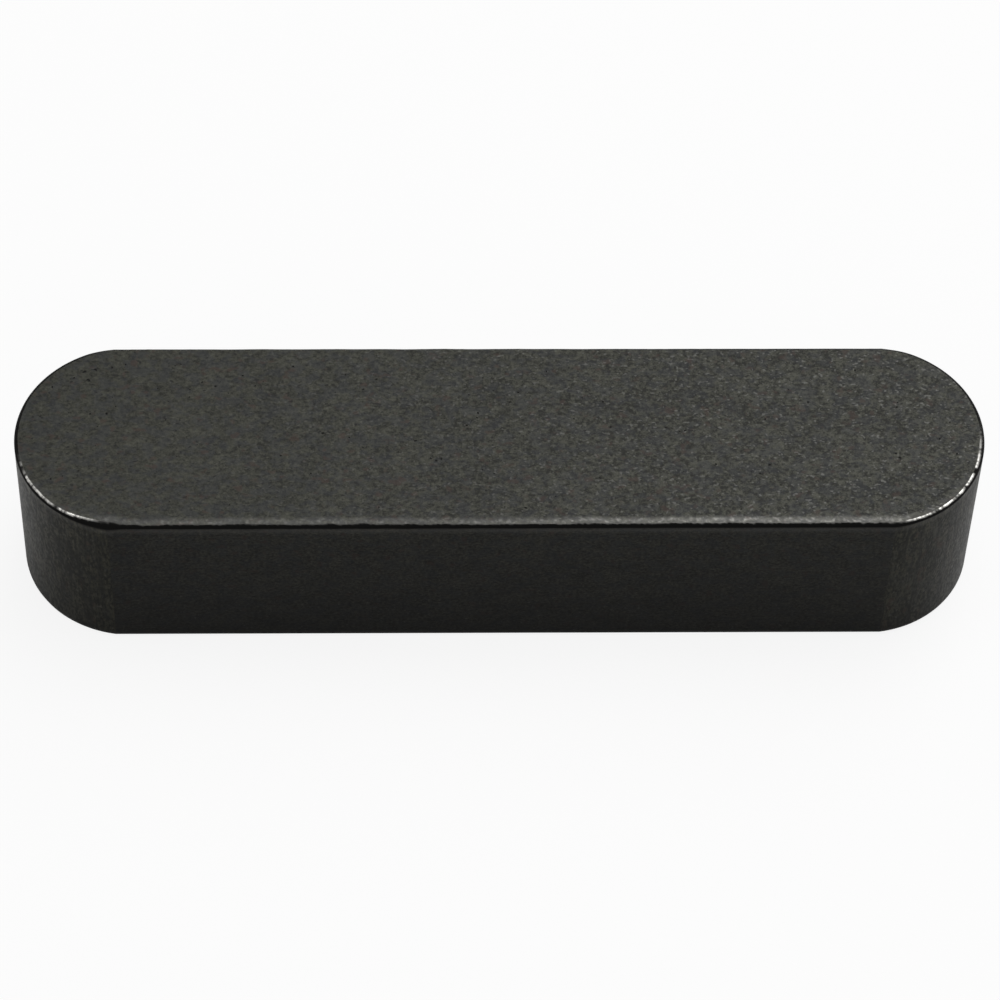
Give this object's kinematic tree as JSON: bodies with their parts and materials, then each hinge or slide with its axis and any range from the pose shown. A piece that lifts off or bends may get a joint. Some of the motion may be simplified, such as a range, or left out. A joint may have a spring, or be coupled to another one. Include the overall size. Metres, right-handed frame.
{
  "type": "parallel key",
  "caption": "Round-ended parallel key of dark steel that sits in matching keyways and carries torque between a shaft and its hub.",
  "frame": {"origin": "middle of the bottom face, the face that seats on the floor of the shaft keyway", "axes": "+X along the key, over its round ends; +Y across the flanks; +Z from the bottom face to the top face"},
  "size_m": [0.035, 0.008, 0.007],
  "materials": {
    "dark_steel": "dark oiled steel with a fine grain, the rims of the round ends worn bright"
  },
  "bodies": {
    "root": {"parallel_key": "dark_steel"}
  },
  "joints": []
}
